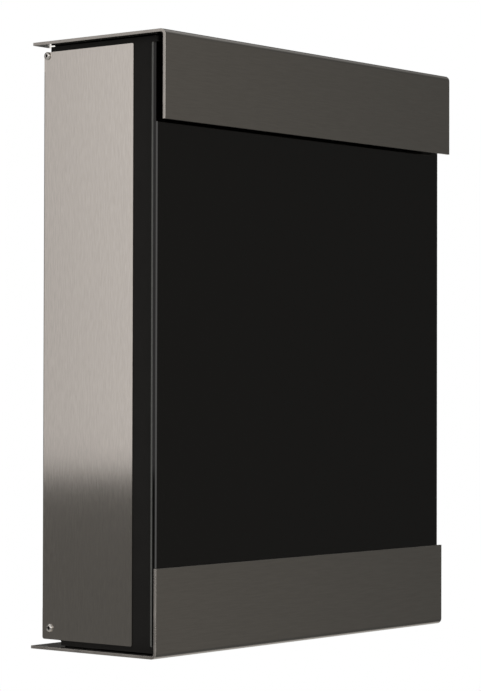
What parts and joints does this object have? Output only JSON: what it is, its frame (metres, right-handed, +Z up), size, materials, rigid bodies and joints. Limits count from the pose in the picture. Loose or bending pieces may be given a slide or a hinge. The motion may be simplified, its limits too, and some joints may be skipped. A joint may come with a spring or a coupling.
{
  "type": "wall mounted mailbox",
  "caption": "Flat wall mailbox of brushed steel with a black glass front, a hinged top lid over the mail slot and a lockable hinged bottom flap.",
  "frame": {"origin": "centre of the four wall holes, on the wall's plane, at half the box's height", "axes": "+X to the right seen from the front, +Y into the wall, +Z up"},
  "size_m": [0.318, 0.1235, 0.4015],
  "materials": {
    "brushed_steel": "brushed stainless sheet",
    "plain_steel": "plain stainless, small bent parts and fasteners",
    "black_coat": "fine matt black powder coat",
    "black_glass": "opaque black backed safety glass, glossy",
    "foam_tape": "black foam mounting tape",
    "rubber": "black rubber, matt",
    "screw_steel": "bright stainless screw",
    "rivet": "plain aluminium rivet",
    "nylon": "natural nylon",
    "lock_nickel": "nickel plated die casting",
    "lock_brass": "machined brass, nickel worn"
  },
  "bodies": {
    "box": {"outer_shell": "brushed_steel", "inner_case": "black_coat", "slot_plate": "black_coat", "keeper_bracket": "black_coat", "front_glass": "black_glass", "glass_tape": "foam_tape", "wall_spacers": "rubber", "lid_buffers": "rubber", "flap_buffers": "rubber", "case_nuts": "plain_steel", "shell_studs": "plain_steel", "slot_plate_rivets": "rivet", "keeper_rivets": "rivet", "lid_hinge_washers": "nylon", "flap_hinge_washers": "nylon"},
    "lid": {"top_lid": "brushed_steel", "lid_ear_left": "black_coat", "lid_ear_right": "black_coat", "lid_hinge_screws": "screw_steel", "lid_hinge_nuts": "plain_steel"},
    "flap": {"bottom_flap": "brushed_steel", "flap_ear_left": "black_coat", "flap_ear_right": "black_coat", "flap_hinge_screws": "screw_steel", "flap_hinge_nuts": "plain_steel", "lock_body": "lock_nickel", "lock_nut": "lock_nickel"},
    "lock": {"lock_plug": "lock_brass", "lock_cam": "plain_steel", "cam_screw": "screw_steel"}
  },
  "joints": [
    {"name": "lid_hinge", "type": "hinge", "parent": "box", "child": "lid", "pos_m": [0, -0.0138, 0.1916], "axis": [-1, 0, 0], "range_deg": [0, 90]},
    {"name": "flap_hinge", "type": "hinge", "parent": "box", "child": "flap", "pos_m": [0, -0.0174, -0.1865], "axis": [1, 0, 0], "range_deg": [0, 90]},
    {"name": "lock_turn", "type": "hinge", "parent": "flap", "child": "lock", "pos_m": [0, -0.081, -0.18], "axis": [0, 0, -1], "range_deg": [0, 90]}
  ]
}
